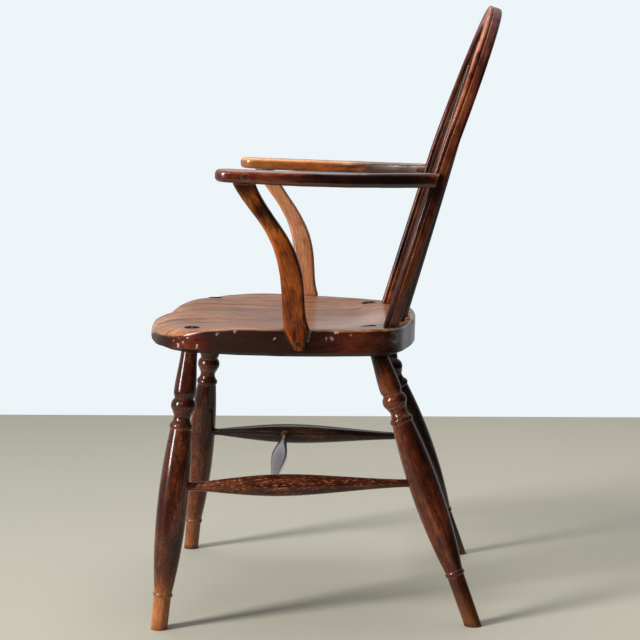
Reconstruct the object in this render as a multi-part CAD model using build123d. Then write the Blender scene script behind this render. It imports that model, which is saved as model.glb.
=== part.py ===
# Windsor armchair with a stick back: turned legs, crooked arm supports and one bent bow.
# Millimetres, +Z up. The chair stands on the floor at z = 0 and faces -Y; +X is the sitter's left.
import os
from math import asin, cos, pi, radians, sin, sqrt

from build123d import *

# Fits
fit = 0.12  # room round every tenon, peg and lap

# Seat plank
seat_height = 432.8  # top of the plank above the floor at y = 0
seat_tilt = 1.9  # falls to the back, degrees
seat_thickness = 41.5
seat_front = -266.0
seat_back = 137.0
front_corner_x = 229.0
front_corner_sag = 40.0
back_corner_x = 186.0
back_corner_sag = 27.0
seat_side_sag = 32.0
front_corner_radius = 90.0
back_corner_radius = 46.0
seat_edge_round = 4.5
seat_bevel_height = 7.0
seat_bevel_width = 15.0

# Saddle of the seat
hollow_depth = 11.0
hollow_half_width = 226.0
hollow_front_spread = 62.0  # the hollow widens past the corners at the front
hollow_middle = -20.0
hollow_back = 84.0
pommel_rise = 4.6
thigh_centre = 86.0
pommel_start = -60.0
pommel_full = -205.0
front_roll = 8.5  # fall of the top at the rounded front edge
front_roll_start = -185.0

# Legs: where each axis leaves the top of the seat and meets the floor
front_leg_top_x = 203.0
front_leg_top_y = -188.0
front_leg_foot_x = 245.0
front_leg_foot_y = -236.0
back_leg_top_x = 157.0
back_leg_top_y = 64.0
back_leg_foot_x = 217.0
back_leg_foot_y = 217.0

# Leg turning: distances below the seat, and diameters
leg_tenon = 21.5
leg_top = 23.5
vase_at = 58.0
vase = 32.0
groove_at = 66.5
groove = 28.0
ball_at = 77.5
ball = 36.0
ball_length = 18.0
collar_at = 88.0
collar = 29.5
cove_at = 96.5
cove = 24.0
ring_at = 108.0
ring = 34.0
ring_length = 8.5
body_top = 30.5
swell_at = 206.0
swell = 43.6
front_foot_ring_at = 352.0
back_foot_ring_at = 336.0
back_leg_rise = 6.5  # the back legs are driven further into the seat
foot_ring = 28.8
foot_ring_length = 7.5
ankle = 26.0
foot_top = 25.0
foot_end = 23.8
wedge_thickness = 2.6
wedge_depth = 24.0
wedge_inset = 0.6  # inside the tenon's edge

# Stretchers
stretcher_height = 204.0
stretcher_tenon = 11.5
stretcher_neck = 31.0  # straight end, from the leg's axis
tenon_past_axis = 4.0
side_swell = 31.5
side_taper = 0.62  # fullness half way to the swell
cross_taper = 0.38
side_swell_place = 0.39  # part of the way from the front leg to the back one
cross_swell = 25.5
cross_neck = 24.0

# Bow
bow_foot_y = 86.0  # front face at the seat
bow_flare = 21.0  # the feet stand inside the spring of the crown
bow_lean = 17.6
crown_lean = 20.2
crown_bend = 50.0  # length over which the lean grows
bow_half_width = 182.0
bow_rise = 465.2  # top of the bow above the seat
bow_width = 28.0
bow_depth = 20.6
bow_back_round = 5.0
bead = 6.8
quirk = 1.7
front_hollow = 1.0
bow_tenon = 15.0
bow_tenon_length = 18.0

# Back sticks
stick_count = 7
stick_pitch_seat = 42.0
stick_pitch_bow = 45.0
stick_line_y = 118.5  # middle stick at the seat
stick_line_sag = 23.0
stick_tenon = 11.0
stick_swell = 12.8
stick_swell_place = 0.36  # part of the way up
stick_top = 9.2
stick_socket = 24.0
stick_in_bow = 9.5  # behind the bow's front face
stick_neck = 34.0

# Arms
arm_rise = 225.6  # top of the arm above the seat at y = 0
arm_tilt = 1.55  # falls to the back, degrees
arm_sag = 1.6
arm_thickness = 21.0
arm_tip_thickness = 18.6
arm_tip = -150.0
arm_tip_width = 48.0
arm_tip_x = 264.0
arm_middle_y = 45.0
arm_middle_x = 252.0
arm_middle_width = 38.0
arm_past_bow = 11.0  # middle of the arm's rear end, outside the middle of the bow
arm_back_y = 186.0
arm_back_width = 29.0
arm_edge_round = 7.5
arm_lap = 7.0
arm_tenon = 12.0
arm_tenon_length = 13.0
arm_tenon_past_bow = 5.0

# Arm supports: part of the way from seat to arm, centre x, centre y, size across and size along
support_levels = [
    (0.01, 236.0, -37.4, 24.0, 37.0),
    (0.231, 242.0, -42.1, 25.0, 33.2),
    (0.4, 247.0, -46.6, 25.0, 32.0),
    (0.568, 253.0, -60.0, 24.0, 28.6),
    (0.732, 259.0, -83.0, 23.0, 27.6),
    (0.985, 265.0, -113.5, 23.0, 31.5),
]
support_end_drop = 28.8  # below the top of the seat
support_end_y = -33.1
support_end_length = 15.0
support_round = 6.0
support_tenon_x = 263.5
support_tenon_y = -106.0
support_tenon = 15.0
support_tenon_length = 14.0
arm_peg = 8.0
arm_peg_length = 42.0
nail = 4.0
nail_head = 6.4
nail_head_height = 2.2
nail_length = 46.0
nail_above_end = 10.0

bow_height = seat_height + bow_rise
bow_foot_x = bow_half_width - bow_flare
arm_back_x = bow_half_width + arm_past_bow
arm_tenon_x = bow_half_width + arm_tenon_past_bow
support_end_height = seat_height - support_end_drop
front_leg_top = (front_leg_top_x, front_leg_top_y)
front_leg_foot = (front_leg_foot_x, front_leg_foot_y)
back_leg_top = (back_leg_top_x, back_leg_top_y)
back_leg_foot = (back_leg_foot_x, back_leg_foot_y)
beyond = 2 * bow_height  # larger than the chair, for cutting blocks
seat_place = Pos(0, 0, seat_height) * Rot(X=-seat_tilt)
arm_place = Pos(0, 0, seat_height + arm_rise) * Rot(X=-arm_tilt)
seat_down = Vector(0, -sin(radians(seat_tilt)), -cos(radians(seat_tilt)))


def seat_point(x, y):
    return (seat_place * Pos(x, y, 0)).position


def above(place):
    return place * Box(beyond, beyond, beyond, align=(Align.CENTER, Align.CENTER, Align.MIN))


def below(place):
    return place * Box(beyond, beyond, beyond, align=(Align.CENTER, Align.CENTER, Align.MAX))


def along(start, end):
    return Plane(origin=start, z_dir=end - start)


def rod(start, end, diameter):
    pin = Cylinder(diameter / 2, (end - start).length, align=(Align.CENTER, Align.CENTER, Align.MIN))
    return along(start, end).location * pin


def turned(edges, plane):
    return plane.location * revolve(Plane.XZ.location * make_face(edges), Axis.Z)


def on_both_sides(shape):
    return [shape, mirror(shape, Plane.YZ)]


def eased(part):
    part = min(1.0, max(0.0, part))
    return part * part * (3 - 2 * part)


def hollow_at(x, y):
    forward = eased((pommel_start - y) / (pommel_start - pommel_full))
    across = abs(x) / (hollow_half_width + hollow_front_spread * forward)
    behind = max(0.0, y - hollow_middle) / (hollow_back - hollow_middle)
    inside = eased(1 - across**3 - behind**3)
    ridge = pommel_rise * forward * cos(pi * x / thigh_centre)
    roll = max(0.0, front_roll_start - y) / (front_roll_start - seat_front)
    return inside * (hollow_depth - ridge) + front_roll * roll**2


def saddle():
    side = front_corner_x + seat_side_sag + seat_thickness
    first = seat_front - seat_thickness
    last = seat_back + seat_thickness
    rows = []
    for row in range(25):
        y = first + row * (last - first) / 24
        xs = [side * (column / 16 - 1) for column in range(33)]
        rows.append([(x, y, -hollow_at(x, y)) for x in xs])
    return Face.make_surface_from_array_of_points(rows)


def seat_outline():
    front = (front_corner_x, seat_front + front_corner_sag)
    back = (back_corner_x, seat_back - back_corner_sag)
    right_front = (-front[0], front[1])
    right_back = (-back[0], back[1])
    outline = make_face([
        ThreePointArc(right_front, (0, seat_front), front),
        SagittaArc(front, back, -seat_side_sag),
        ThreePointArc(back, (0, seat_back), right_back),
        SagittaArc(right_back, right_front, -seat_side_sag),
    ])
    outline = fillet(outline.vertices().sort_by(Axis.Y)[:2], front_corner_radius)
    return fillet(outline.vertices().sort_by(Axis.Y)[-2:], back_corner_radius)


def seat_plank(space_above):
    plank = Pos(0, 0, -seat_thickness) * extrude(seat_outline(), amount=seat_thickness * 1.25)
    plank = plank - space_above
    under = plank.faces().sort_by(Axis.Z)[0]
    plank = chamfer(under.edges(), seat_bevel_width, seat_bevel_height, reference=under)
    top = plank.faces().sort_by(Axis.Z)[-1]
    return fillet(top.edges(), seat_edge_round)


def leg_axis(top, foot):
    start = seat_point(*top)
    end = Vector(*foot, 0)
    down = (end - start).normalized()
    through = seat_thickness / down.dot(seat_down)
    return start, end, down, through


def leg(top, foot, rise, foot_ring_at):
    start, end, down, through = leg_axis(top, foot)
    length = (end - start).length - through + foot_end
    shoulder = -leg_top / 2
    foot_ring_at = foot_ring_at + rise
    ball_top = ball_at - ball_length / 2
    ball_base = ball_at + ball_length / 2
    ring_top = ring_at - ring_length / 2
    ring_base = ring_at + ring_length / 2
    foot_ring_top = foot_ring_at - foot_ring_length / 2
    foot_ring_base = foot_ring_at + foot_ring_length / 2
    edges = [
        Polyline((0, shoulder), (leg_top / 2, shoulder), (leg_top / 2, 0)),
        Spline((leg_top / 2, 0), (vase / 2, vase_at), tangents=[(0.03, 1), (0.02, 1)]),
        Spline((vase / 2, vase_at), (groove / 2, groove_at), tangents=[(0.02, 1), (-0.5, 1)]),
        Line((groove / 2, groove_at), (groove / 2, ball_top)),
        ThreePointArc((groove / 2, ball_top), (ball / 2, ball_at), (collar / 2, ball_base)),
        Line((collar / 2, ball_base), (collar / 2, collar_at)),
        ThreePointArc((collar / 2, collar_at), (cove / 2, cove_at), (body_top / 2, ring_top)),
        ThreePointArc((body_top / 2, ring_top), (ring / 2, ring_at), (body_top / 2, ring_base)),
        Spline((body_top / 2, ring_base), (swell / 2, swell_at), (ankle / 2, foot_ring_top)),
        ThreePointArc(
            (ankle / 2, foot_ring_top), (foot_ring / 2, foot_ring_at), (foot_top / 2, foot_ring_base)
        ),
        Polyline((foot_top / 2, foot_ring_base), (foot_end / 2, length), (0, length), (0, shoulder)),
    ]
    turning = turned(edges, Plane(origin=start + down * (through - rise), z_dir=down))
    turning = turning - above(seat_place * Pos(0, 0, -seat_thickness - fit)) - below(Pos(0, 0, 0))
    return turning + rod(start - down * leg_tenon, start + down * (through + leg_tenon), leg_tenon)


def wedge(start, inward, diameter):
    half = wedge_thickness / 2 * 1.4
    lead = wedge_depth * 0.4
    side = make_face(Polyline((-half, -lead), (half, -lead), (0, wedge_depth), close=True))
    slab = extrude(Plane.XZ.location * side, amount=diameter, both=True)
    core = Cylinder(diameter / 2 - wedge_inset, 3 * wedge_depth)
    return Plane(origin=start, x_dir=(0, 1, 0), z_dir=inward).location * (slab & core)


def stretcher(start, end, swell_diameter, swell_place, taper, neck, past):
    length = (end - start).length
    widest = length * swell_place
    radius = stretcher_tenon / 2
    halfway = radius + (swell_diameter / 2 - radius) * taper
    edges = [
        Polyline((0, -past), (radius, -past), (radius, neck)),
        Spline(
            (radius, neck),
            (halfway, (neck + widest) / 2),
            (swell_diameter / 2, widest),
            (halfway, (widest + length - neck) / 2),
            (radius, length - neck),
        ),
        Polyline((radius, length - neck), (radius, length + past), (0, length + past), (0, -past)),
    ]
    return turned(edges, along(start, end))


def socket(at, toward, past, diameter, reach):
    way = (toward - at).normalized()
    return rod(at - way * (past + fit), at + way * reach, diameter + 2 * fit)


# Seat, legs and their wedges
deck = saddle()
space_above = extrude(deck, amount=2 * seat_thickness, dir=(0, 0, 1))
space_below = Pos(0, 0, fit) * extrude(deck, amount=2 * seat_thickness, dir=(0, 0, -1))
seat = seat_place * seat_plank(space_above)
space_above = seat_place * space_above
space_below = seat_place * space_below

left_legs = {}
left_wedges = {}
legs = [
    ("front", front_leg_top, front_leg_foot, 0, front_foot_ring_at),
    ("back", back_leg_top, back_leg_foot, back_leg_rise, back_foot_ring_at),
]
for name, top, foot, rise, ring_place in legs:
    start, end, down, through = leg_axis(top, foot)
    key = wedge(start, down, leg_tenon)
    left_legs[name] = leg(top, foot, rise, ring_place) - space_above - key
    left_wedges[name] = key - space_above
    hole = rod(start - down * leg_tenon, start + down * (through + leg_tenon), leg_tenon + 2 * fit)
    for cut in on_both_sides(hole):
        seat = seat - cut


# Stretchers between the legs
def point_on_leg(top, foot, height):
    start, end, down, through = leg_axis(top, foot)
    return start + down * ((start.Z - height) / -down.Z)


side_front = point_on_leg(front_leg_top, front_leg_foot, stretcher_height)
side_back = point_on_leg(back_leg_top, back_leg_foot, stretcher_height)
side_stretcher = stretcher(
    side_front, side_back, side_swell, side_swell_place, side_taper, stretcher_neck, tenon_past_axis
)
for name, at, toward in [("front", side_front, side_back), ("back", side_back, side_front)]:
    left_legs[name] = left_legs[name] - socket(at, toward, tenon_past_axis, stretcher_tenon, swell)

cross_left = side_front + (side_back - side_front) * side_swell_place
cross_right = Vector(-cross_left.X, cross_left.Y, cross_left.Z)
cross_stretcher = stretcher(
    cross_left, cross_right, cross_swell, 0.5, cross_taper, cross_neck, tenon_past_axis
)
side_stretcher = side_stretcher - socket(
    cross_left, cross_right, tenon_past_axis, stretcher_tenon, side_swell
)

# Bow: two flared legs, a slight bend backwards and a round crown
bow_base = seat_point(0, bow_foot_y)
lean = radians(bow_lean)
bow_place = Plane(origin=bow_base, x_dir=(1, 0, 0), z_dir=(0, -cos(lean), sin(lean))).location
bend = radians(crown_lean - bow_lean)
bend_rise = crown_bend * cos(lean + bend / 2)
crown_z = bow_height - (bow_half_width + bow_width / 2) * cos(lean + bend)
spring = (crown_z - bend_rise - bow_base.Z) / cos(lean)
flare = bow_half_width - bow_foot_x
flare_radius = (flare**2 + spring**2) / (2 * flare)
foot_angle = asin(spring / flare_radius)
foot_way = Vector(sin(foot_angle), cos(foot_angle), 0)
bow_foot = Vector(bow_foot_x, 0, 0)
bow_start = bow_foot - foot_way * bow_depth
flare_middle = Vector(
    bow_half_width - flare_radius * (1 - cos(foot_angle / 2)), spring - flare_radius * sin(foot_angle / 2), 0
)
bend_radius = crown_bend / bend
bend_half = bow_place * Pos(
    bow_half_width, spring + bend_radius * sin(bend / 2), -bend_radius * (1 - cos(bend / 2))
)
bend_end = bow_place * Pos(bow_half_width, spring + bend_radius * sin(bend), -bend_radius * (1 - cos(bend)))
crown_base = Vector(0, bend_end.position.Y, bend_end.position.Z)
crown_place = Plane(
    origin=crown_base, x_dir=(1, 0, 0), z_dir=(0, -cos(lean + bend), sin(lean + bend))
).location


def on_bow(x, up, behind=0.0):
    return (bow_place * Pos(x, up, -behind)).position


def on_crown(x, behind=0.0):
    return (crown_place * Pos(x, sqrt(bow_half_width**2 - x**2), -behind)).position


def bow_line():
    bend_start = on_bow(bow_half_width, spring)
    rise = [
        Line(on_bow(bow_start.X, bow_start.Y), on_bow(bow_foot.X, bow_foot.Y)),
        ThreePointArc(on_bow(bow_foot.X, 0), on_bow(flare_middle.X, flare_middle.Y), bend_start),
        ThreePointArc(bend_start, bend_half.position, bend_end.position),
    ]
    crown = ThreePointArc(on_crown(bow_half_width), on_crown(0), on_crown(-bow_half_width))
    return Wire(rise + [crown] + [mirror(edge, Plane.YZ).edge() for edge in reversed(rise)])


def bow_section(edges):
    plane = Plane(origin=bow_start, x_dir=(foot_way.Y, -foot_way.X, 0), z_dir=foot_way)
    return bow_place * plane.location * make_face(edges)


def moulded_edges():
    half = bow_width / 2
    radius = bead / 2
    centre = half - radius
    side_quirk = (centre + radius * cos(pi / 3), radius + radius * sin(pi / 3))
    bead_top = (centre + radius * cos(pi / 4), radius - radius * sin(pi / 4))
    front_quirk = (centre - radius * sin(pi / 3), radius - radius * cos(pi / 3))
    front_edge = (front_quirk[0] - quirk, front_hollow)
    side_edge = (half, side_quirk[1] + quirk)
    turn = half - bow_back_round
    corner = bow_back_round * (1 - cos(pi / 4))
    half_edges = [
        ThreePointArc(
            (turn, bow_depth), (half - corner, bow_depth - corner), (half, bow_depth - bow_back_round)
        ),
        Line((half, bow_depth - bow_back_round), side_edge),
        Line(side_edge, side_quirk),
        ThreePointArc(side_quirk, bead_top, front_quirk),
        Line(front_quirk, front_edge),
    ]
    face = ThreePointArc(front_edge, (0, front_hollow * 1.8), (-front_edge[0], front_edge[1]))
    others = [mirror(edge, Plane.YZ).edge() for edge in half_edges]
    return half_edges + [face] + others + [Line((-turn, bow_depth), (turn, bow_depth))]


bow = sweep(bow_section(moulded_edges()), path=bow_line())
bow = bow - space_below
plain_edges = Polyline(
    (-bow_width / 2 - fit, -fit),
    (bow_width / 2 + fit, -fit),
    (bow_width / 2 + fit, bow_depth + fit),
    (-bow_width / 2 - fit, bow_depth + fit),
    close=True,
)
bow_space = sweep(bow_section(plain_edges), path=bow_line())

# Feet of the bow in the seat
foot_up = bow_foot + foot_way * bow_tenon_length
foot_down = bow_foot - foot_way * bow_tenon_length
foot_high = on_bow(foot_up.X, foot_up.Y, bow_depth / 2)
foot_low = on_bow(foot_down.X, foot_down.Y, bow_depth / 2)
for tenon in on_both_sides(rod(foot_low, foot_high, bow_tenon)):
    bow = bow + tenon
for hole in on_both_sides(socket(foot_low, foot_high, 0, bow_tenon, 3 * bow_tenon_length)):
    seat = seat - hole

# Back sticks
sticks = []
for index in range(stick_count):
    place = index - (stick_count - 1) / 2
    x = place * stick_pitch_seat
    start = seat_point(x, stick_line_y - stick_line_sag * (x / bow_foot_x) ** 2)
    end = on_crown(place * stick_pitch_bow, stick_in_bow)
    length = (end - start).length
    foot_half = stick_tenon / 2
    top_half = stick_top / 2
    neck = length - stick_neck
    edges = [
        Polyline((0, -stick_socket), (foot_half, -stick_socket), (foot_half, foot_half)),
        Spline((foot_half, foot_half), (stick_swell / 2, length * stick_swell_place), (top_half, neck)),
        Polyline((top_half, neck), (top_half, length), (0, length), (0, -stick_socket)),
    ]
    sticks.append(turned(edges, along(start, end)))
    seat = seat - socket(start, end, stick_socket, stick_tenon, stick_socket)
    bow = bow - socket(end, start, 0, stick_top, 2 * bow_width)


# Arms
def arm_blank():
    middle = arm_tip + arm_tip_width / 2
    half = arm_tip_width / 2
    outer = Spline(
        (arm_tip_x + half, middle),
        (arm_middle_x + arm_middle_width / 2, arm_middle_y),
        (arm_back_x + arm_back_width / 2, arm_back_y),
        tangents=[(0, 1), (-0.35, 1)],
    )
    inner = Spline(
        (arm_tip_x - half, middle),
        (arm_middle_x - arm_middle_width / 2, arm_middle_y),
        (arm_back_x - arm_back_width / 2, arm_back_y),
        tangents=[(0, 1), (-0.35, 1)],
    )
    tip = ThreePointArc((arm_tip_x + half, middle), (arm_tip_x, arm_tip), (arm_tip_x - half, middle))
    end = Line(outer @ 1, inner @ 1)
    plan = make_face([outer, inner, tip, end])
    first = arm_tip - arm_edge_round
    last = arm_back_y + arm_edge_round
    centre = (first + last) / 2
    top = ThreePointArc((first, 0), (centre, -arm_sag), (last, 0))
    base = ThreePointArc(
        (first, -arm_tip_thickness), (centre, -arm_sag - arm_thickness), (last, -arm_thickness)
    )
    ends = [Line(top @ 0, base @ 0), Line(top @ 1, base @ 1)]
    side = extrude(Plane.YZ.location * make_face([top, base] + ends), amount=arm_tip_x * 2)
    body = extrude(plan, amount=3 * arm_thickness, both=True) & side
    long_edges = body.edges().filter_by(Axis.Z, reverse=True).sort_by(Axis.Y)[:-2]
    return fillet(long_edges, arm_edge_round)


whole_arm = arm_place * arm_blank()
arm = whole_arm - bow_space - below(bow_place * Pos(0, 0, -arm_lap))
tenon_line = (arm_place * Pos(arm_tenon_x, 0, -arm_thickness / 2)).position
tenon_way = Vector(0, cos(radians(arm_tilt)), -sin(radians(arm_tilt)))
bow_front = Vector(0, -cos(lean), sin(lean))
butt = tenon_line + tenon_way * ((bow_base - tenon_line).dot(bow_front) / tenon_way.dot(bow_front))
tenon_tip = butt + tenon_way * arm_tenon_length
arm = arm + rod(butt - tenon_way * arm_tenon_length, tenon_tip, arm_tenon)
for hole in on_both_sides(socket(tenon_tip, butt, 0, arm_tenon, 2 * arm_tenon_length)):
    bow = bow - hole


# Arm supports: a crooked upright, narrowed below to lie in a notch in the seat's edge
def support_level(height, x, y, across, length):
    return Pos(x, y, height) * fillet(Rectangle(across, length).vertices(), support_round)


first_part, first_x, first_y, first_across, first_length = support_levels[0]
first_height = seat_height + first_part * arm_rise
foot_level = support_level(support_end_height, first_x, support_end_y, first_across, support_end_length)
levels = [support_level(seat_height + part * arm_rise, *sizes) for part, *sizes in support_levels]
upright = loft(levels) - Pos(0, 0, -fit) * whole_arm
support = loft([foot_level, levels[0]], ruled=True) + upright

tenon_base = (arm_place * Pos(support_tenon_x, support_tenon_y, -arm_thickness)).position
tenon_end = tenon_base + Vector(0, 0, support_tenon_length)
tenon_root = tenon_base - Vector(0, 0, support_tenon_length / 2)
support = support + rod(tenon_root, tenon_end, support_tenon)
arm = arm - rod(tenon_root, tenon_end + Vector(0, 0, fit), support_tenon + 2 * fit)

notch_height = support_end_drop + seat_thickness / 2
spread = notch_height / (first_height - support_end_height)
notch_y = support_end_y + (first_y - support_end_y) * spread
notch_half = (support_end_length + (first_length - support_end_length) * spread) / 2 + fit
end_half = support_end_length / 2 + fit
notch_side = make_face(Polyline(
    (support_end_y - end_half, support_end_height - fit),
    (support_end_y + end_half, support_end_height - fit),
    (notch_y + notch_half, support_end_height + notch_height),
    (notch_y - notch_half, support_end_height + notch_height),
    close=True,
))
notch = extrude(Plane.YZ.location * notch_side, amount=3 * first_across)
for cut in on_both_sides(Pos(first_x - first_across / 2 - fit, 0, 0) * notch):
    seat = seat - cut

# Pegs through the arms into the supports' tenons
peg_level = (arm_place * Pos(0, support_tenon_y, -arm_thickness / 2)).position.Z
peg_outside = Vector(arm_tip_x + arm_tip_width, support_tenon_y, peg_level)
peg_inside = Vector(arm_tip_x + arm_tip_width / 2 - arm_peg_length, support_tenon_y, peg_level)
peg = rod(peg_inside, peg_outside, arm_peg) & whole_arm
peg_hole = rod(peg_inside - Vector(fit, 0, 0), peg_outside, arm_peg + 2 * fit)
arm = arm - peg_hole
support = support - peg_hole

# Nails through the supports' lower ends into the seat
nail_height = support_end_height + nail_above_end
nail_part = nail_above_end / (first_height - support_end_height)
nail_y = support_end_y + (first_y - support_end_y) * nail_part
nail_face = Vector(first_x + first_across / 2, nail_y, nail_height)
inward = Vector(-1, 0, 0)


def nail_shape(room, outside):
    head_end = nail_face + inward * (nail_head_height + room)
    head = rod(nail_face - inward * outside, head_end, nail_head + 2 * room)
    return head + rod(nail_face, nail_face + inward * (nail_length + room), nail + 2 * room)


support_nail = nail_shape(0, 0)
nail_hole = nail_shape(fit, nail_head)
support = support - nail_hole
for hole in on_both_sides(nail_hole):
    seat = seat - hole

# Every piece under its own name
pieces = {"seat": seat, "cross_stretcher": cross_stretcher, "bow": bow}
for index, stick in enumerate(sticks):
    pieces[f"back_stick_{index + 1}"] = stick
paired = {
    "front_leg": left_legs["front"],
    "back_leg": left_legs["back"],
    "front_leg_wedge": left_wedges["front"],
    "back_leg_wedge": left_wedges["back"],
    "side_stretcher": side_stretcher,
    "arm": arm,
    "arm_support": support,
    "arm_peg": peg,
    "support_nail": support_nail,
}
for name, shape in paired.items():
    left, right = on_both_sides(shape)
    pieces["left_" + name] = left
    pieces["right_" + name] = right

os.makedirs("parts", exist_ok=True)
for name, shape in pieces.items():
    export_step(shape.solid(), f"parts/{name}.step")
    print(name, round(shape.volume), "mm3")
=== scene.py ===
import math

import bpy
import bmesh
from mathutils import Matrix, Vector, noise


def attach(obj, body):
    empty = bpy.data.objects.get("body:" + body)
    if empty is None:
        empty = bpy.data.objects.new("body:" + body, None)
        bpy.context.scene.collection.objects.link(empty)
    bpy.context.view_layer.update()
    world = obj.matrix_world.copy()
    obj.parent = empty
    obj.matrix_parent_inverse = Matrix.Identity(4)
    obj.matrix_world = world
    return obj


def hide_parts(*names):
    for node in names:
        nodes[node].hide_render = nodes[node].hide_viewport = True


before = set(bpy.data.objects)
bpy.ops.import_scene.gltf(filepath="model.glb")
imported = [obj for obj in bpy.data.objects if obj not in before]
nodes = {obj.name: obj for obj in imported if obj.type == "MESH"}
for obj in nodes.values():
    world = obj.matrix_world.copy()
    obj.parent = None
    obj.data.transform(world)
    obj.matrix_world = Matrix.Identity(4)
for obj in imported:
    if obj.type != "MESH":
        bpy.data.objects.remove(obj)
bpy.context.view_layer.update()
print("frame loaded:", len(nodes), "nodes")


# one wrapped socket, so that shader maths reads as Python
class Wire:
    def __init__(self, paint, socket):
        self.paint = paint
        self.socket = socket

    def maths(self, operation, *values):
        return self.paint.add("ShaderNodeMath", {"operation": operation}, values)

    def __add__(self, other):
        return self.maths("ADD", self, other)

    def __radd__(self, other):
        return self.maths("ADD", other, self)

    def __sub__(self, other):
        return self.maths("SUBTRACT", self, other)

    def __rsub__(self, other):
        return self.maths("SUBTRACT", other, self)

    def __mul__(self, other):
        return self.maths("MULTIPLY", self, other)

    def __rmul__(self, other):
        return self.maths("MULTIPLY", other, self)

    def __truediv__(self, other):
        return self.maths("DIVIDE", self, other)

    def __rtruediv__(self, other):
        return self.maths("DIVIDE", other, self)

    def __pow__(self, other):
        return self.maths("POWER", self, other)

    def __rpow__(self, other):
        return self.maths("POWER", other, self)

    def __neg__(self):
        return self.maths("MULTIPLY", self, -1.0)

    def atMost(self, other):
        return self.maths("MINIMUM", self, other)

    def atLeast(self, other):
        return self.maths("MAXIMUM", self, other)

    def clamp(self):
        return self.atLeast(0.0).atMost(1.0)

    def sine(self):
        return self.maths("SINE", self)

    def step(self, low, high):  # rises smoothly from 0 at low to 1 at high
        return self.paint.add("ShaderNodeMapRange", {"interpolation_type": "SMOOTHSTEP"},
                              {"Value": self, "From Min": low, "From Max": high})


# the nodes of one material, or of the world
class Finish:
    def __init__(self, name, world=False):
        self.block = (bpy.data.worlds if world else bpy.data.materials).new(name)
        self.block.use_nodes = True
        self.tree = self.block.node_tree
        self.tree.nodes.clear()

    # every node comes from here: its type, its settings, then the values or links of its sockets
    def add(self, kind, settings=None, sockets=(), out=0):
        node = self.tree.nodes.new(kind)
        for key, value in (settings or {}).items():
            if key == "stops":
                self.setStops(node.color_ramp, value)
            else:
                setattr(node, key, value)
        pairs = sockets.items() if isinstance(sockets, dict) else enumerate(sockets)
        for key, value in pairs:
            self.put(node.inputs[key], value)
        return Wire(self, node.outputs[out]) if len(node.outputs) else None

    def put(self, socket, value):
        if isinstance(value, Wire):
            self.tree.links.new(value.socket, socket)
        elif socket.type == "RGBA" and len(value) == 3:
            socket.default_value = (*value, 1.0)
        else:
            socket.default_value = value

    def setStops(self, ramp, stops):
        while len(ramp.elements) < len(stops):
            ramp.elements.new(0.5)
        for element, (place, colour) in zip(ramp.elements, stops):
            element.position = place
            element.color = (*colour, 1.0)

    def objectPlace(self):
        return self.add("ShaderNodeTexCoord", out="Object")

    def split(self, vector):
        node = self.add("ShaderNodeSeparateXYZ", {}, [vector]).socket.node
        return [Wire(self, socket) for socket in node.outputs]

    def join(self, x, y, z):
        return self.add("ShaderNodeCombineXYZ", {}, [x, y, z])

    def dot(self, first, second):
        return self.add("ShaderNodeVectorMath", {"operation": "DOT_PRODUCT"}, [first, second], "Value")

    def distance(self, first, second):
        return self.add("ShaderNodeVectorMath", {"operation": "DISTANCE"}, [first, second], "Value")

    def mix(self, factor, first, second, how="MIX"):  # 6, 7 and out 2 are the node's colours
        return self.add("ShaderNodeMix", {"data_type": "RGBA", "blend_type": how},
                        {0: factor, 6: first, 7: second}, 2)

    def tint(self, factor, colour, times):
        return self.mix(factor, colour, self.mix(1.0, colour, times, "MULTIPLY"))

    def noise(self, vector, scale, detail, rough):
        return self.add("ShaderNodeTexNoise", {}, {"Vector": vector, "Scale": scale, "Detail": detail,
                                                   "Roughness": rough})

    def ramp(self, value, stops):
        return self.add("ShaderNodeValToRGB", {"stops": stops}, [value])

    def finish(self, sockets, height=None, strength=0.0, distance=0.0):
        if height:
            bump = {"Strength": strength, "Distance": distance, "Height": height}
            sockets["Normal"] = self.add("ShaderNodeBump", {}, bump)
        shader = self.add("ShaderNodeBsdfPrincipled", {}, sockets)
        self.add("ShaderNodeOutputMaterial", {}, [shader])
        return self.block


# the photograph's camera in a soft white studio with a plain floor
studio = {
    "eye": (2.85, 0.0627, 0.7559),
    "aim": (0.0, -0.0103, 0.4194),
    "lens": 104.8,
    "sensor": 36.0,
    "farthest": 50.0,
    "wallColour": (0.845, 0.91, 0.945),
    "roomColour": (0.95, 0.97, 1.0),
    "roomSide": (-0.78, -0.42, 0.45),  # brightest this way, above and on the far side of the chair
    "roomFade": (-0.35, 0.9),
    "roomLight": 0.40,
    "roomShade": 0.03,
    "lamps": {  # place, aim, width, height, watts, colour
        "windowLamp": ((2.25, -3.42, 1.98), (0.0, 0.0, 0.4), 0.92, 2.5, 256.0, (1.0, 0.98, 0.95)),
        "overheadLamp": ((-0.6, -0.2, 2.5), (0.0, 0.0, 0.4), 1.6, 2.0, 22.0, (0.96, 0.98, 1.0)),
        "cameraFill": ((2.5, -1.0, 2.1), (0.1, 0.0, 0.2), 0.9, 1.2, 9.0, (1.0, 0.98, 0.96)),
    },
    "floorReach": 1.58,
    "floorLampSide": (0.49, 0.475, 0.40),
    "floorAwayFromLamps": (0.65, 0.615, 0.51),
    "floorFade": (-0.7, 1.1),  # painted light: from the darker colour on the lamps' side to the paler one away from them, evening out the lamps' fall-off
    "floorCloud": (1.6, 5.0, 0.55),  # scale, detail and roughness of the noise
    "floorUneven": 0.2,
    "floorRough": 0.9,
}


def turnedTo(place, aim):
    return (Vector(aim) - Vector(place)).to_track_quat("-Z", "Y").to_euler()


def addObject(name, data):
    thing = bpy.data.objects.new(name, data)
    bpy.context.scene.collection.objects.link(thing)
    return thing


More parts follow.
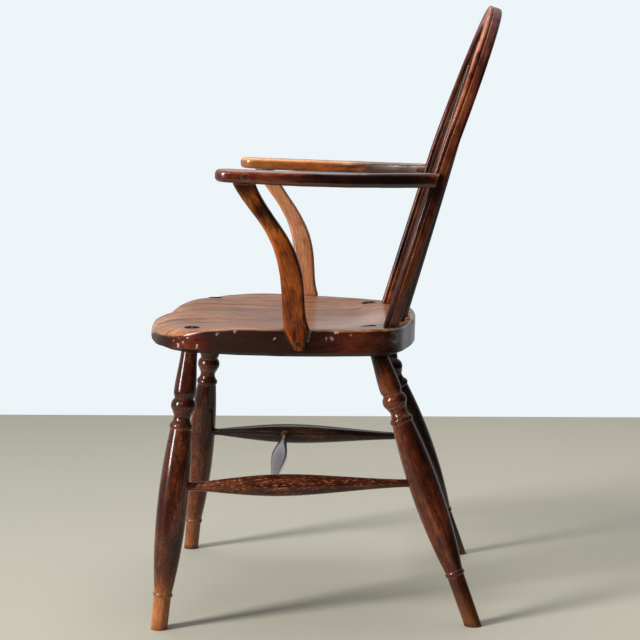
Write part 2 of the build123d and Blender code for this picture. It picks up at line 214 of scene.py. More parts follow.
def makeCamera():
    scene = bpy.context.scene
    scene.view_settings.view_transform = "Standard"
    lens = bpy.data.cameras.new("photoCamera")
    lens.lens = studio["lens"]
    lens.sensor_width = studio["sensor"]
    lens.clip_end = studio["farthest"]
    camera = addObject("photoCamera", lens)
    camera.location = studio["eye"]
    camera.rotation_euler = turnedTo(studio["eye"], studio["aim"])
    scene.camera = camera


def makeRoom():
    room = Finish("studioWorld", world=True)
    bpy.context.scene.world = room.block
    direction = room.add("ShaderNodeTexCoord", out="Generated")
    glow = room.dot(direction, studio["roomSide"]).step(*studio["roomFade"])
    bright = glow * studio["roomLight"] + studio["roomShade"]
    lit = room.add("ShaderNodeBackground", {}, [studio["roomColour"], bright])
    seen = room.add("ShaderNodeBackground", {}, [studio["wallColour"], 1.0])
    byCamera = room.add("ShaderNodeLightPath", out="Is Camera Ray")
    shown = room.add("ShaderNodeMixShader", {}, [byCamera, lit, seen])
    room.add("ShaderNodeOutputWorld", {}, [shown])


def makeLamps():
    for name, (place, aim, width, height, watts, colour) in studio["lamps"].items():
        light = bpy.data.lights.new(name, "AREA")
        light.shape = "RECTANGLE"
        light.size = width
        light.size_y = height
        light.energy = watts
        light.color = colour
        lamp = addObject(name, light)
        lamp.location = place
        lamp.rotation_euler = turnedTo(place, aim)


def makeFloor():
    reach = studio["floorReach"]
    corners = [(-reach, -reach, 0), (reach, -reach, 0), (reach, reach, 0), (-reach, reach, 0)]
    mesh = bpy.data.meshes.new("studioFloor")
    mesh.from_pydata(corners, [], [(0, 1, 2, 3)])
    floor = addObject("studioFloor", mesh)
    paint = Finish("paleFloor")
    place = paint.objectPlace()
    cloud = paint.noise(place, *studio["floorCloud"]) * studio["floorUneven"]
    # painted light: the floor's colour is darker on the lamps' side and paler away from them
    back = (paint.split(place)[1] + cloud).step(*studio["floorFade"])
    colour = paint.mix(back, studio["floorLampSide"], studio["floorAwayFromLamps"])
    mesh.materials.append(paint.finish({"Base Color": colour, "Roughness": studio["floorRough"],
                                        "Specular IOR Level": 0.0}))


makeCamera()
makeRoom()
makeLamps()
makeFloor()
print("studio made")


# how the grain runs: each gives the two ways across it and the way along it, in metres
def straightGrain(start, end):
    origin = Vector(start)
    along = (Vector(end) - origin).normalized()
    side = along.orthogonal().normalized()
    axes = (side, along.cross(side), along)

    def grain(paint, place):
        return [paint.dot(place, tuple(axis)) - axis.dot(origin) for axis in axes]
    return grain


# up one leg of the bent bow, round the crown and down the other
bowBend = {"baseY": 0.086, "baseZ": 0.430, "lean": math.radians(18.6), "spring": 0.288, "radius": 0.182}


def bowGrain(paint, place):
    x, y, z = paint.split(place)
    cosine, sine = math.cos(bowBend["lean"]), math.sin(bowBend["lean"])
    back, high = y - bowBend["baseY"], z - bowBend["baseZ"]
    up = back * sine + high * cosine
    depth = back * cosine - high * sine
    spring = bowBend["spring"]
    rise = (up - spring).atLeast(0.0)
    below = up.atMost(spring)
    radius = (x * x + rise * rise) ** 0.5
    angle = x.maths("ARCTAN2", rise, x)
    left = x.maths("GREATER_THAN", x, 0.0)
    along = angle * bowBend["radius"] + left * below + (1.0 - left) * (2 * spring - below)
    return [radius - bowBend["radius"], depth, along]


# along the crook of an arm support, whose y is a cubic of the height
supportCrook = {"foot": 0.435, "rise": 0.22, "start": -0.0374, "slope": -0.0106, "cubic": -0.0655}


def crookGrain(middle):
    def grain(paint, place):
        x, y, z = paint.split(place)
        part = (z - supportCrook["foot"]) / supportCrook["rise"]
        bend = part * part * part * supportCrook["cubic"] + part * supportCrook["slope"]
        return [x - middle, y - (bend + supportCrook["start"]), z]
    return grain


# what every wood starts from; the look of each piece says what differs
plainWood = {
    "seed": 0.0,
    "pith": (0.02, 0.03),  # from the middle of the piece to the middle of the tree
    "ringGap": 0.0035,
    "waver": 0.012,
    "coarse": 1.0,  # how much wider the grain is
    "stretch": 1.0,  # how much longer it is
    "streak": 0.35,  # contrast of rings, fibres and bands
    "ringShare": 0.25,
    "fibreShare": 1.1,
    "broadShare": 1.5,
    "blotch": 0.45,  # contrast of clouds and mottle
    "cloudShare": 2.0,
    "mottleShare": 0.9,
    "toneStops": (0.15, 0.5, 0.85),  # of the dark, middle and light colour
    "lines": 0.0,
    "lineTint": (0.30, 0.24, 0.22),
    "poreTint": (0.50, 0.42, 0.38),
    "fleck": 0.0,
    "fleckSize": 1.0,
    "fleckColour": (0.476, 0.21, 0.091),
    "front": None,  # painted light: a lighter tint of what faces forward, towards the lamps
    "frontLightMottle": 0.5,
    "frontLightLeast": 0.7,
    "sideShade": None,  # painted shade: a darker tint of upright faces, and the slopes that are upright and flat
    "sideShadeRag": 0.12,
    "under": None,  # painted shade: a darker tint of what faces down
    "bare": None,  # heights of bare and of polished wood, share, colour
    "bareCloud": 0.08,
    "bareMottle": 0.10,
    "bareStain": 0.45,
    "spots": (),  # place, reach, colour, share, kind
    "spotCore": 0.3,
    "spotRag": 0.8,
    "smoothRag": 0.15,
    "knockRag": 5.0,
    # painted shade: ambient occlusion darkens corners, grooves and joints
    "dirt": 0.6,
    "cornerShadeReach": 0.016,
    "cornerShadeSamples": 8,
    "cornerShadeTint": 0.2,
    "cornerShadeRough": 0.3,
    "wear": 0.4,
    "wearColour": (0.504, 0.182, 0.063),
    "wearRadius": 0.0035,
    "wearSamples": 4,
    "wearFrom": None,  # no wear below this height
    "wearFade": 0.012,
    "specks": 0.0,
    "speckColour": (0.55, 0.42, 0.33),
    "cap": None,  # end grain above this height
    "capFade": 0.004,
    "capColour": (0.016, 0.007, 0.005),
    "capRough": 0.6,
    "rough": (0.22, 0.42),
    "underRough": 0.5,
    "sheen": (),  # place, reach, how much smoother
    "sheenCore": 0.2,
    "coat": 0.35,
    "sideCoat": 1.0,  # share of the coat on upright faces
    "coatRough": 0.06,
    "shine": 0.3,
    "fibreBump": 0.4,
    "broadBump": 0.5,
    "cloudBump": 1.2,
    "mottleBump": 0.5,
    "bumpStrength": 0.35,
    "bumpHeight": 0.0003,
}
grainLayers = {  # rate across and along the grain, shift, scale, detail, roughness
    "waver": (6.0, 3.0, 0.0, 1.0, 2.0, 0.5),
    "fibre": (460.0, 30.0, 0.0, 1.0, 3.0, 0.6),
    "broad": (150.0, 8.0, 0.0, 1.0, 4.0, 0.6),
    "cloud": (1.0, 0.6, 0.0, 16.0, 4.0, 0.6),
    "mottle": (1.0, 0.5, 9.0, 95.0, 3.0, 0.6),
    "ticks": (900.0, 260.0, 0.0, 1.0, 1.0, 0.5),
}
gritNoise = (330.0, 2.0, 0.55)  # scale, detail, roughness
woodSteps = {  # where a mark starts to show and where it is full
    "ringLine": (0.80, 1.0),
    "linePatch": (0.38, 0.62),
    "pore": (0.58, 0.70),
    "tick": (0.57, 0.70),
    "tickPatch": (0.36, 0.60),
    "front": (0.45, 0.9),
    "under": (0.05, 0.4),
    "bare": (0.3, 0.75),
    "corner": (0.14, 0.62),
    "edge": (0.012, 0.13),
    "wearPatch": (0.25, 0.65),
    "chip": (0.60, 0.66),
    "chipPatch": (0.42, 0.6),
}


# polished wood: the grain first, then what age and hands have done to it
class Wood(Finish):
    def __init__(self, name, grain, look):
        super().__init__(name)
        self.look = look = {**plainWood, **look}
        self.place = self.objectPlace()
        x, y, self.height = self.split(self.place)
        across, other, self.along = grain(self, self.place)
        self.across = across + look["pith"][0]
        self.other = other + look["pith"][1]
        waver = (self.layer("waver") - 0.5) * look["waver"] * look["coarse"]
        radius = (self.across * self.across + self.other * self.other) ** 0.5 + waver
        self.rings = (radius / look["ringGap"] * (2 * math.pi)).sine() * 0.5 + 0.5
        self.fibre = self.layer("fibre", look["coarse"], look["stretch"])
        self.broad = self.layer("broad", look["coarse"], look["stretch"])
        self.cloud = self.layer("cloud")
        self.mottle = self.layer("mottle")
        self.grit = self.noise(self.join(x, y, self.height + look["seed"]), *gritNoise)
        self.feelFaces()

    # which way each face looks, and where it lies in a corner, for the painted light and shade
    def feelFaces(self):
        look = self.look
        self.normal = self.add("ShaderNodeNewGeometry", out="Normal")
        _, back, up = self.split(self.normal)
        if look["front"]:
            self.litAhead = self.show(-back, "front")
        if look["sideShade"]:
            slope = up + (self.cloud - 0.5) * look["sideShadeRag"]
            self.upright = 1.0 - slope.step(*look["sideShade"][1:])
        if look["under"]:
            self.below = self.show(-up, "under")
        # painted shade: the ambient-occlusion mask that darkens corners, grooves and joints
        corner = self.add("ShaderNodeAmbientOcclusion", {"samples": look["cornerShadeSamples"]},
                          {"Distance": look["cornerShadeReach"]}, "AO")
        self.cornerShadeMask = self.show(1.0 - corner, "corner") * look["dirt"]

    # noise that is drawn out along the grain
    def layer(self, kind, wider=1.0, longer=1.0):
        across, along, shift, scale, detail, rough = grainLayers[kind]
        rate = across / wider
        run = self.along * (along / longer) + (self.look["seed"] + shift)
        return self.noise(self.join(self.across * rate, self.other * rate, run), scale, detail, rough)

    def show(self, wire, step):
        return wire.step(*woodSteps[step])

    def grained(self):
        look = self.look
        shares = [(self.rings, "ringShare", "streak"), (self.fibre, "fibreShare", "streak"),
                  (self.broad, "broadShare", "streak"), (self.cloud, "cloudShare", "blotch"),
                  (self.mottle, "mottleShare", "blotch")]
        tone = 0.5
        for layer, share, contrast in shares:
            tone = tone + (layer - 0.5) * (look[share] * look[contrast])
        colour = self.ramp(tone, list(zip(look["toneStops"], look["colours"])))
        if look["lines"]:
            line = self.show(self.rings, "ringLine") * self.show(self.broad, "linePatch")
            colour = self.tint(line * look["lines"], colour, look["lineTint"])
            colour = self.tint(self.show(self.fibre, "pore") * look["lines"], colour, look["poreTint"])
        if look["fleck"]:
            ticks = self.show(self.layer("ticks", look["fleckSize"], look["fleckSize"]), "tick")
            ticks = ticks * self.show(self.cloud, "tickPatch") * look["fleck"]
            colour = self.mix(ticks, colour, look["fleckColour"])
        return colour

    # painted light and shade by facing: forward faces lighter, upright and downward faces darker
    def shaded(self, colour):
        look = self.look
        if look["front"]:
            patchy = self.mottle * look["frontLightMottle"] + look["frontLightLeast"]
            colour = self.tint(self.litAhead * patchy, colour, look["front"])
        if look["sideShade"]:
            colour = self.tint(self.upright, colour, look["sideShade"][0])
        if look["under"]:
            colour = self.tint(self.below, colour, look["under"])
        return colour

    # the polish ends in a ragged line above the foot
    def rubbedBare(self, colour):
        look = self.look
        if not look["bare"]:
            return colour
        low, high, share, bareColour = look["bare"]
        rag = (self.cloud - 0.5) * look["bareCloud"] + (self.mottle - 0.5) * look["bareMottle"]
        patch = (1.0 - (self.height + rag).step(low, high)) * share
        stained = self.mix(look["bareStain"], bareColour, look["colours"][0])
        clean = self.show(self.fibre + self.mottle - 0.5, "bare")
        return self.mix(patch, colour, self.mix(clean, stained, bareColour))

    # times multiplies the colour, knock has a gritty rim, smooth a soft one, side keeps to upright faces
    def spotted(self, colour):
        look = self.look
        for spot, reach, spotColour, share, kind in look["spots"]:
            if "knock" in kind:
                rag = (self.grit - 0.5) * look["knockRag"]
            else:
                rag = (self.mottle + self.broad - 1.0) * look["smoothRag" if "smooth" in kind else "spotRag"]
            far = self.distance(self.place, spot) + rag * reach
            mask = (1.0 - far.step(reach * look["spotCore"], reach)) * share
            if "side" in kind:
                mask = mask * self.upright
            paintOn = self.tint if "times" in kind else self.mix
            colour = paintOn(mask, colour, spotColour)
        return colour

    # painted shade: ambient occlusion darkens the corners, grooves and joints, and the polish is rubbed off
    # the edges
    def paintCornerShadeAndWear(self, colour):
        look = self.look
        darkest = tuple(channel * look["cornerShadeTint"] for channel in look["colours"][0])
        colour = self.mix(self.cornerShadeMask, colour, darkest)
        rounded = self.add("ShaderNodeBevel", {"samples": look["wearSamples"]},
                           {"Radius": look["wearRadius"]})
        edge = self.show(1.0 - self.dot(rounded, self.normal), "edge")
        if look["wearFrom"]:
            edge = edge * self.height.step(look["wearFrom"], look["wearFrom"] + look["wearFade"])
        rubbed = edge * self.show(self.cloud, "wearPatch") * look["wear"]
        colour = self.mix(rubbed.clamp(), colour, look["wearColour"])
        if look["specks"]:
            chipped = self.show(self.grit, "chip") * edge * self.show(self.cloud, "chipPatch")
            colour = self.mix((chipped * look["specks"]).clamp(), colour, look["speckColour"])
        return colour

    def polished(self, colour):
        look = self.look
        smooth, dull = look["rough"]
        rough = self.broad * (dull - smooth) + smooth + self.cornerShadeMask * look["cornerShadeRough"]
        coat = look["coat"]
        for spot, reach, smoother in look["sheen"]:
            far = self.distance(self.place, spot)
            rough = rough - (1.0 - far.step(reach * look["sheenCore"], reach)) * smoother
        if look["sideCoat"] < 1.0:
            coat = (1.0 - self.upright * (1.0 - look["sideCoat"])) * coat
        if look["under"]:
            rough = (rough + self.below * look["underRough"]).atMost(1.0)
        if look["cap"]:
            top = self.height.step(look["cap"], look["cap"] + look["capFade"])
            colour = self.mix(top, colour, look["capColour"])
            rough = (rough + top * look["capRough"]).atMost(1.0)
            coat = (1.0 - top) * coat
        surface = (self.fibre * look["fibreBump"] + self.broad * look["broadBump"]
                   + self.cloud * look["cloudBump"] + self.mottle * look["mottleBump"])
        return self.finish({"Base Color": colour, "Roughness": rough, "Coat Weight": coat,
                            "Coat Roughness": look["coatRough"], "Specular IOR Level": look["shine"]},
                           surface, look["bumpStrength"], look["bumpHeight"])


def polishedWood(name, grain, look):
    wood = Wood(name, grain, look)
    colour = wood.shaded(wood.grained())
    colour = wood.spotted(wood.rubbedBare(colour))
    return wood.polished(wood.paintCornerShadeAndWear(colour))


def dress(node, material):
    mesh = nodes[node].data
    for index in range(len(mesh.materials)):
        mesh.materials[index] = material
    if not mesh.materials:
        mesh.materials.append(material)


def mirrored(point, sign):
    return (point[0] * sign, point[1], point[2])


# a copy of a node with more points, so that age and wear can be worked into it
copying = {"joinWithin": 2e-6, "sharpFrom": math.radians(38)}


def wornCopy(node, name, longest, wearAt, rounds):
    work = bmesh.new()
    work.from_mesh(nodes[node].data)
    bmesh.ops.remove_doubles(work, verts=work.verts, dist=copying["joinWithin"])
    for _ in range(rounds):
        cut = [edge for edge in work.edges if edge.calc_length() > longest(edge.verts[0].co)]
        if not cut:
            break
        bmesh.ops.subdivide_edges(work, edges=cut, cuts=1)
        bmesh.ops.triangulate(work, faces=[face for face in work.faces if len(face.verts) > 4])
    bmesh.ops.triangulate(work, faces=work.faces)  # so that no sliver folds onto its neighbour
    work.normal_update()
    moves = [(vert, wearAt(vert.co, vert.normal)) for vert in work.verts]
    for vert, move in moves:
        vert.co += move
    mesh = bpy.data.meshes.new(name)
    work.to_mesh(mesh)
    work.free()
    for attribute in [item for item in mesh.attributes if item.name == "custom_normal"]:
        mesh.attributes.remove(attribute)
    mesh.polygons.foreach_set("use_smooth", [True] * len(mesh.polygons))
    mesh.set_sharp_from_angle(angle=copying["sharpFrom"])
    piece = addObject(name, mesh)
    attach(piece, "root")
    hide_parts(node)
    print("worn copy of", node, len(mesh.polygons), "faces")
    return piece


def evenly(length):
    return lambda co: length


# slightly uneven faces of pieces that were shaped by hand, always inwards
handTool = {"large": 0.65, "small": 0.35, "finer": 2.9}


def handCut(amount, scale):
    def wear(co, normal):
        large = noise.noise(co * scale) * handTool["large"]
        small = noise.noise(co * scale * handTool["finer"]) * handTool["small"]
        return normal * amount * ((large + small) * 0.5 - 0.5)
    return wear


def between(value, low, high):
    return min(high, max(low, value))


def eased(part):
    part = between(part, 0.0, 1.0)
    return part * part * (3 - 2 * part)


# how deep a dent is, as a share, with a ragged rim; far is given in reaches of the dent
def dent(co, far, rim, scale, rag):
    if far > rim + 1.5 * rag:
        return 0.0
    return eased(rim - (far + noise.noise(co * scale) * rag))


def farFromLine(co, points):
    best = 1.0
    for first, second in zip(points, points[1:]):
        run = second - first
        part = between((co - first).dot(run) / run.length_squared, 0.0, 1.0)
        best = min(best, (co - first - run * part).length)
    return best


def onSurface(piece, point):
    return tuple(piece.closest_point_on_mesh(Vector(point))[1])


# seat: brown elm with the grain from front to back, a rounded front and knocked edges, painted shade on the
# upright sides and underneath, and a painted sheen on the nose, the top rear and the rear end
seatElm = {
    "front": -0.266, "cornerX": 0.229, "cornerSag": 0.040,
    "cornerRadius": 0.090, "cornerInset": 0.62, "cornerMost": 0.97,
    "noseWidth": 0.034, "noseDrop": 0.0085, "noseFrom": 0.398, "noseRise": 0.032, "noseMost": 1.15,
    "uneven": (0.0010, 26.0),
    "chips": [  # place on the edge, reach, depth
        ((0.247, -0.1244, 0.433), 0.0036, 0.0014), ((0.244, 0.0242, 0.433), 0.0034, 0.0012),
        ((-0.2425, -0.10, 0.434), 0.0050, 0.0018), ((-0.232, 0.07, 0.430), 0.0040, 0.0014),
        ((0.05, -0.263, 0.420), 0.0050, 0.0012), ((-0.12, -0.253, 0.418), 0.0050, 0.0012),
        ((0.09, 0.131, 0.428), 0.0045, 0.0014), ((-0.05, 0.135, 0.427), 0.0040, 0.0012),
    ],
    "chipRim": (1.25, 420.0, 0.35),  # rim, scale and rag of the dent
    "chipWide": 0.8, "chipColour": (0.50, 0.40, 0.34), "chipShare": 0.5,
    "notchEdge": [(0.243, -0.0160, 0.440), (0.243, -0.0190, 0.430),
                  (0.243, -0.0224, 0.418), (0.243, -0.0256, 0.400)],
    "notchReach": 0.0090, "notchDepth": 0.0060, "notchRim": (1.05, 260.0, 0.25),
    "notchWide": 0.0045, "notchColour": (0.55, 0.48, 0.45), "notchShare": 0.75,
    "specks": [  # small pale knocks on the near front corner and along the near side
        (0.235, -0.2122, 0.4199), (0.24, -0.1965, 0.4205), (0.245, -0.1809, 0.4100), (0.235, -0.2137, 0.4099),
        (0.23, -0.2236, 0.4156), (0.24, -0.2050, 0.4150), (0.25, 0.0101, 0.4198), (0.25, 0.0185, 0.4185),
        (0.25, 0.0312, 0.4128), (0.25, -0.0676, 0.4210), (0.25, -0.150, 0.4270), (0.25, 0.0500, 0.4240),
    ],
    "speckWide": (0.0010, 0.0006), "speckColour": (0.62, 0.54, 0.48), "speckShare": 0.6,
    "tints": [
        ((0.240, -0.195, 0.410), 0.042, (5.6, 4.0, 3.0), 0.85, "side times"),
        # painted reflection: a pale grey patch on the near rear end of the seat
        ((0.165, 0.145, 0.418), 0.062, (0.42, 0.40, 0.39), 0.8, "smooth"),
        ((0.245, 0.05, 0.415), 0.085, (6.8, 5.8, 4.6), 0.95, "side times"),
        ((-0.03, -0.07, 0.435), 0.15, (0.72, 0.68, 0.68), 0.8, "times"),
        # painted sheen: the top paler and bluer towards the rear
        ((0.10, 0.07, 0.435), 0.15, (1.26, 1.50, 1.75), 0.8, "times"),
        # painted sheen, with some wear: the nose paler and bluer on both sides
        ((0.06, -0.262, 0.418), 0.070, (1.32, 1.68, 1.98), 0.8, "times"),
        ((-0.07, -0.258, 0.418), 0.070, (1.32, 1.68, 1.98), 0.8, "times"),
    ],
    # longest edges of the copy: near a chip, near a notch, above and below a height
    "chipEdge": 0.0016, "chipZone": 2.5, "notchSpacing": 0.0018, "notchZone": 0.012,
    "topEdge": 0.007, "topFrom": 0.40, "underEdge": 0.02, "rounds": 6,
    "grain": ((0, -0.3, 0.36), (0, 0.3, 0.34)),
    "look": {
        "colours": ((0.095, 0.030, 0.0130), (0.335, 0.130, 0.056), (0.580, 0.280, 0.145)), "seed": 2.0,
        "pith": (0.11, 0.05), "ringGap": 0.017, "coarse": 2.0, "stretch": 1.5, "streak": 0.70, "lines": 0.6,
        "blotch": 0.34, "dirt": 0.8, "wear": 0.45, "wearColour": (0.462, 0.161, 0.0532), "wearFrom": 0.409,
        "specks": 0.25, "sideShade": ((0.062, 0.031, 0.031), 0.05, 0.7), "under": (0.25, 0.22, 0.22),
        "rough": (0.34, 0.56), "coat": 0.5, "sideCoat": 0.3, "coatRough": 0.25, "shine": 0.25,
        "sheen": [((0.10, 0.09, 0.43), 0.20, 0.30), ((0.235, -0.205, 0.415), 0.06, 0.25)],
    },
}
notchEdges = [[Vector(mirrored(point, sign)) for point in seatElm["notchEdge"]] for sign in (1, -1)]
seatUneven = handCut(*seatElm["uneven"])


def seatFrontAt(x):
    radius = seatElm["cornerRadius"]
    start = seatElm["cornerX"] - seatElm["cornerInset"] * radius
    turn = between((abs(x) - start) / radius, 0.0, seatElm["cornerMost"])
    corner = radius * (1 - math.sqrt(1 - turn * turn))
    return seatElm["front"] + seatElm["cornerSag"] * (x / seatElm["cornerX"]) ** 2 + corner


def seatWear(co, normal):
    inset = co.y - seatFrontAt(co.x)
    near = between(1 - inset / seatElm["noseWidth"], 0.0, seatElm["noseMost"])
    high = eased((co.z - seatElm["noseFrom"]) / seatElm["noseRise"])
    move = Vector((0, 0, -seatElm["noseDrop"] * near ** 2 * high))
    move += seatUneven(co, normal)
    for place, reach, depth in seatElm["chips"]:
        far = (co - Vector(place)).length / reach
        move -= normal * depth * dent(co, far, *seatElm["chipRim"])
    for line in notchEdges:
        far = farFromLine(co, line) / seatElm["notchReach"]
        move -= normal * seatElm["notchDepth"] * dent(co, far, *seatElm["notchRim"])
    return move


def seatSpacing(co):
    zone = seatElm["chipZone"]
    if any((co - Vector(place)).length < reach * zone for place, reach, _ in seatElm["chips"]):
        return seatElm["chipEdge"]
    if any(farFromLine(co, line) < seatElm["notchZone"] for line in notchEdges):
        return seatElm["notchSpacing"]
    return seatElm["topEdge"] if co.z > seatElm["topFrom"] else seatElm["underEdge"]


def seatSpots(seat):
    spots = []
    for place, reach, _ in seatElm["chips"]:
        spots.append((onSurface(seat, place), reach * seatElm["chipWide"], seatElm["chipColour"],
                      seatElm["chipShare"], "knock"))
    spots += seatElm["tints"]
    least, more = seatElm["speckWide"]
    for index, point in enumerate(seatElm["specks"]):
        wide = least + more * (index * 5 % 4)  # four sizes by turns
        spots.append((onSurface(seat, point), wide, seatElm["speckColour"], seatElm["speckShare"], "knock"))
    top, second, third, _ = notchEdges[0]
    for point in (top, second, second.lerp(third, 0.5), third):
        spots.append((onSurface(seat, point), seatElm["notchWide"], seatElm["notchColour"],
                      seatElm["notchShare"], "mix"))
    return spots


seatPiece = wornCopy("seat", "wornSeat", seatSpacing, seatWear, seatElm["rounds"])
seatLook = {**seatElm["look"], "spots": seatSpots(seatPiece)}
seatPiece.data.materials.append(polishedWood("seatElm", straightGrain(*seatElm["grain"]), seatLook))
print("seat worn and polished")

# legs and stretchers: dark stained beech with pale flecks, the feet rubbed to the bare wood; the pieces on
# the far side get darker palettes, which are painted shade
beech = {
    "near": ((0.0065, 0.0018, 0.0013), (0.056, 0.0108, 0.0046), (0.215, 0.050, 0.0165)),
    # painted shade: darker copies of the near palette for the far-side pieces
    "shaded": ((0.0045, 0.0013, 0.0009), (0.036, 0.0070, 0.0030), (0.150, 0.035, 0.0115)),
    "far": ((0.003, 0.0015, 0.001), (0.013, 0.005, 0.0035), (0.050, 0.018, 0.010)),
    "look": {"rough": (0.18, 0.38), "coat": 0.6, "coatRough": 0.09, "shine": 0.10, "dirt": 0.9, "blotch": 0.6,
             "wear": 0.6, "stretch": 0.45},
}
legBeech = {
    "bareWood": (0.53, 0.182, 0.052),
    "front": {
        "foot": (0.245, -0.236, 0.0), "top": (0.203, -0.188, 0.43), "seed": 3.0,
        "bareBelow": 0.03, "polishedAbove": 0.085, "bareShare": {"left": 0.9, "right": 0.5},
        "tone": {"left": "near", "right": "shaded"}, "look": {"fleck": 0.35, "cap": 0.420, "specks": 0.5},
    },
    "back": {
        "foot": (0.217, 0.217, 0.0), "top": (0.157, 0.064, 0.43), "seed": 5.0,
        "bareBelow": -0.02, "polishedAbove": 0.06, "bareShare": {"left": 0.35, "right": 0.35},
        "tone": {"left": "near", "right": "far"}, "look": {"fleck": 0.15, "cap": 0.418, "specks": 0.5},
    },
}


def dressLegs(side, sign):
    for end in ("front", "back"):
        leg = legBeech[end]
        bare = (leg["bareBelow"], leg["polishedAbove"], leg["bareShare"][side], legBeech["bareWood"])
        look = {**beech["look"], **leg["look"], "colours": beech[leg["tone"][side]], "bare": bare,
                "seed": leg["seed"] + sign}
        grain = straightGrain(mirrored(leg["foot"], sign), mirrored(leg["top"], sign))
        dress(f"{side}_{end}_leg", polishedWood(f"{side}{end.capitalize()}LegBeech", grain, look))


stretcherBeech = {
    "front": (0.22, -0.21, 0.204), "back": (0.19, 0.15, 0.204), "seed": 7.0,
    "look": {"fleckSize": 1.6},
    "left": {"colours": beech["near"], "fleck": 0.75},
    # painted shade: the far stretcher takes the darker far palette
    "right": {"colours": beech["far"], "fleck": 0.1},
}


def dressStretcher(side, sign):
    look = {**beech["look"], **stretcherBeech["look"], **stretcherBeech[side],
            "seed": stretcherBeech["seed"] + sign}
    grain = straightGrain(mirrored(stretcherBeech["front"], sign), mirrored(stretcherBeech["back"], sign))
    dress(side + "_side_stretcher", polishedWood(side + "StretcherBeech", grain, look))


# arms: fruitwood, darker at the upright sides by painted shade; the far arm's golden palette is painted light
armFruitwood = {
    "front": (0.265, -0.15, 0.65), "back": (0.2, 0.18, 0.645), "seed": 9.0,
    "longest": 0.006, "uneven": (0.0011, 24.0), "rounds": 4,
    "look": {"wear": 0.7, "specks": 1.0, "sideShade": ((0.36, 0.24, 0.22), 0.1, 0.75), "coat": 0.8,
             "coatRough": 0.05},
    "left": {
        "colours": ((0.070, 0.0150, 0.0072), (0.270, 0.062, 0.0240), (0.56, 0.195, 0.066)),
        "spots": [((0.27, 0.08, 0.645), 0.15, (0.12, 0.13, 0.17), 0.95, "times"),
                  ((0.29, -0.03, 0.648), 0.06, (0.45, 0.36, 0.34), 0.7, "times"),
                  ((0.285, -0.155, 0.652), 0.030, (0.20, 0.15, 0.14), 0.7, "times")],
    },
    "right": {
        # painted light: a much paler, golden copy of the fruitwood for the lit far arm
        "colours": ((0.29, 0.0899, 0.0203), (0.754, 0.29, 0.0725), (0.8, 0.522, 0.16)),
        # painted shade on the far arm's inner side towards the rear and where it laps the bow
        "spots": [((-0.22, 0.10, 0.636), 0.11, (0.06, 0.05, 0.05), 0.9, "times"),
                  ((-0.20, 0.175, 0.645), 0.055, (0.10, 0.08, 0.08), 0.9, "smooth")],
    },
}


def makeArm(side, sign):
    arm = wornCopy(side + "_arm", side + "WornArm", evenly(armFruitwood["longest"]),
                   handCut(*armFruitwood["uneven"]), armFruitwood["rounds"])
    look = {**armFruitwood["look"], **armFruitwood[side], "seed": armFruitwood["seed"] + sign}
    grain = straightGrain(mirrored(armFruitwood["front"], sign), mirrored(armFruitwood["back"], sign))
    arm.data.materials.append(polishedWood(side + "ArmFruitwood", grain, look))


# supports: orange-brown crooked fruitwood, one with a dark knot; painted shade where the near one meets the
# arm and a painted sheen down the far one
supportFruitwood = {
    "middle": 0.25, "seed": 11.0, "longest": 0.005, "uneven": (0.0012, 30.0), "rounds": 4,
    "look": {"stretch": 0.5, "specks": 0.4, "shine": 0.15, "fleckSize": 1.1,
             "fleckColour": (0.030, 0.008, 0.004)},
    "left": {
        "colours": ((0.020, 0.0048, 0.0020), (0.225, 0.047, 0.0066), (0.42, 0.120, 0.018)),
        "blotch": 0.75, "coat": 0.2, "coatRough": 0.06, "fleck": 0.5,
        "spots": [((0.274, -0.080, 0.606), 0.027, (0.008, 0.003, 0.002), 0.95, "mix"),
                  ((0.272, -0.068, 0.588), 0.021, (0.014, 0.005, 0.003), 0.85, "mix"),
                  # painted shade at the top of the near support, under the arm
                  ((0.27, -0.112, 0.648), 0.050, (0.13, 0.14, 0.17), 0.95, "times")],
    },
    "right": {
        "colours": ((0.12, 0.036, 0.013), (0.37, 0.138, 0.055), (0.56, 0.262, 0.12)),
        "blotch": 0.35, "coat": 0.6, "coatRough": 0.25,
        # painted sheen: a paler, bluer band down the far support
        "spots": [((-0.256, -0.052, 0.53), 0.085, (1.4, 1.6, 1.9), 0.9, "smooth times")],
    },
}


def makeSupport(side, sign):
    support = wornCopy(side + "_arm_support", side + "WornSupport", evenly(supportFruitwood["longest"]),
                       handCut(*supportFruitwood["uneven"]), supportFruitwood["rounds"])
    look = {**supportFruitwood["look"], **supportFruitwood[side], "seed": supportFruitwood["seed"] + sign}
    grain = crookGrain(supportFruitwood["middle"] * sign)
    support.data.materials.append(polishedWood(side + "SupportFruitwood", grain, look))


# pegs and wedges: nearly black oak, without polish
pegOak = {
    "grain": ((0, -0.1, 0.65), (0.3, -0.1, 0.65)), "seed": 13.0,
    "look": {"colours": ((0.006, 0.003, 0.002), (0.016, 0.007, 0.005), (0.04, 0.018, 0.010)),
             "rough": (0.5, 0.8), "coat": 0.0},
}


def dressPegs(side, sign):
    look = {**pegOak["look"], "seed": pegOak["seed"] + sign}
    peg = polishedWood(side + "PegOak", straightGrain(*pegOak["grain"]), look)
    for node in ("arm_peg", "front_leg_wedge", "back_leg_wedge"):
        dress(f"{side}_{node}", peg)


# nails: black iron with a little rust
nailIron = {
    "rustNoise": (320.0, 3.0, 0.6), "stops": [(0.3, (0.012, 0.010, 0.009)), (0.7, (0.05, 0.03, 0.02))],
    "rough": 0.4, "rustRough": 0.3, "metal": 0.6, "bumpStrength": 0.4, "bumpHeight": 0.0003,
}


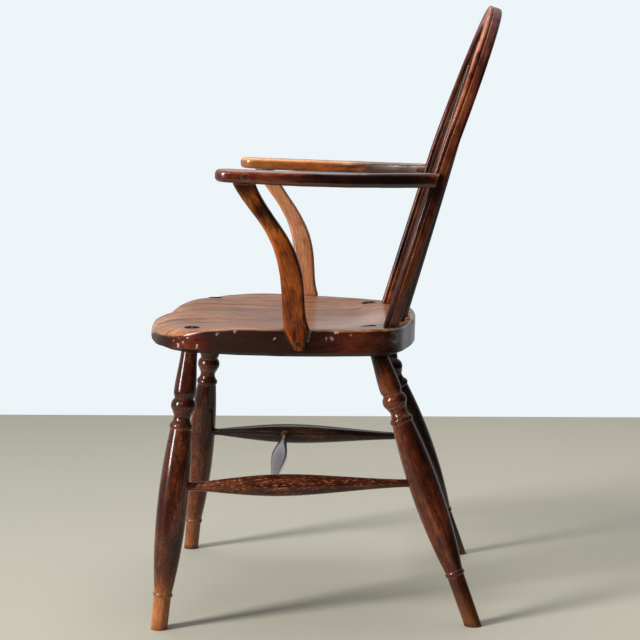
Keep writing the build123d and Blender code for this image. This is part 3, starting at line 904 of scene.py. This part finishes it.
def dressNail(side):
    paint = Finish(side + "Nail")
    rust = paint.noise(paint.objectPlace(), *nailIron["rustNoise"])
    sockets = {"Base Color": paint.ramp(rust, nailIron["stops"]), "Metallic": nailIron["metal"],
               "Roughness": rust * nailIron["rustRough"] + nailIron["rough"]}
    iron = paint.finish(sockets, rust, nailIron["bumpStrength"], nailIron["bumpHeight"])
    dress(side + "_support_nail", iron)


for side, sign in (("left", 1), ("right", -1)):
    dressLegs(side, sign)
    dressStretcher(side, sign)
    makeArm(side, sign)
    makeSupport(side, sign)
    dressPegs(side, sign)
    dressNail(side)
    print(side, "legs, stretcher, arm and support finished")

# cross stretcher: the same beech with more polish
crossBeech = {
    "grain": ((-0.2, -0.06, 0.204), (0.2, -0.06, 0.204)),
    "look": {"colours": beech["near"], "fleck": 0.4, "seed": 21.0, "coat": 1.0, "rough": (0.12, 0.25)},
}
crossGrain = straightGrain(*crossBeech["grain"])
dress("cross_stretcher", polishedWood("crossStretcherBeech", crossGrain, crossBeech["look"]))

# bow: bent ash, dark below and paler with knots towards the crown
bowAsh = {
    "colours": ((0.008, 0.0022, 0.0017), (0.052, 0.0105, 0.0048), (0.185, 0.050, 0.0175)),
    # painted light: the front tint lightens the faces that look forward, towards the lamps
    "seed": 23.0, "wear": 0.35, "wearColour": (0.336, 0.0812, 0.0196), "front": (2.0, 1.75, 1.45),
    "specks": 0.6, "rough": (0.30, 0.48), "coat": 0.45, "coatRough": 0.08, "shine": 0.10, "blotch": 0.8,
    "dirt": 1.0,
    "spots": [((0.10, 0.235, 0.86), 0.20, (4.2, 4.7, 4.8), 0.95, "times"),
              ((0.19, 0.105, 0.49), 0.16, (0.45, 0.37, 0.37), 0.9, "times"),
              ((0.158, 0.2186, 0.8187), 0.012, (0.020, 0.007, 0.004), 0.9, "mix"),
              ((0.178, 0.2077, 0.7914), 0.008, (0.028, 0.009, 0.005), 0.8, "mix"),
              ((0.192, 0.1958, 0.7673), 0.009, (0.40, 0.20, 0.10), 0.6, "mix"),
              ((0.0, 0.245, 0.895), 0.05, (0.16, 0.11, 0.08), 0.5, "mix")],
}
dress("bow", polishedWood("bowAsh", bowGrain, bowAsh))

# back sticks: dark ash
stickAsh = {
    "count": 7, "grain": ((0, 0.115, 0.43), (0, 0.25, 0.88)), "seed": 31.0,
    "look": {"colours": ((0.006, 0.00225, 0.0015), (0.03, 0.009, 0.0045), (0.105, 0.033, 0.0135)),
             "coat": 0.2, "shine": 0.15},
}
for index in range(stickAsh["count"]):
    stickLook = {**stickAsh["look"], "seed": stickAsh["seed"] + index}
    dress(f"back_stick_{index + 1}",
          polishedWood(f"stickAsh{index + 1}", straightGrain(*stickAsh["grain"]), stickLook))
print("finishes on every piece")
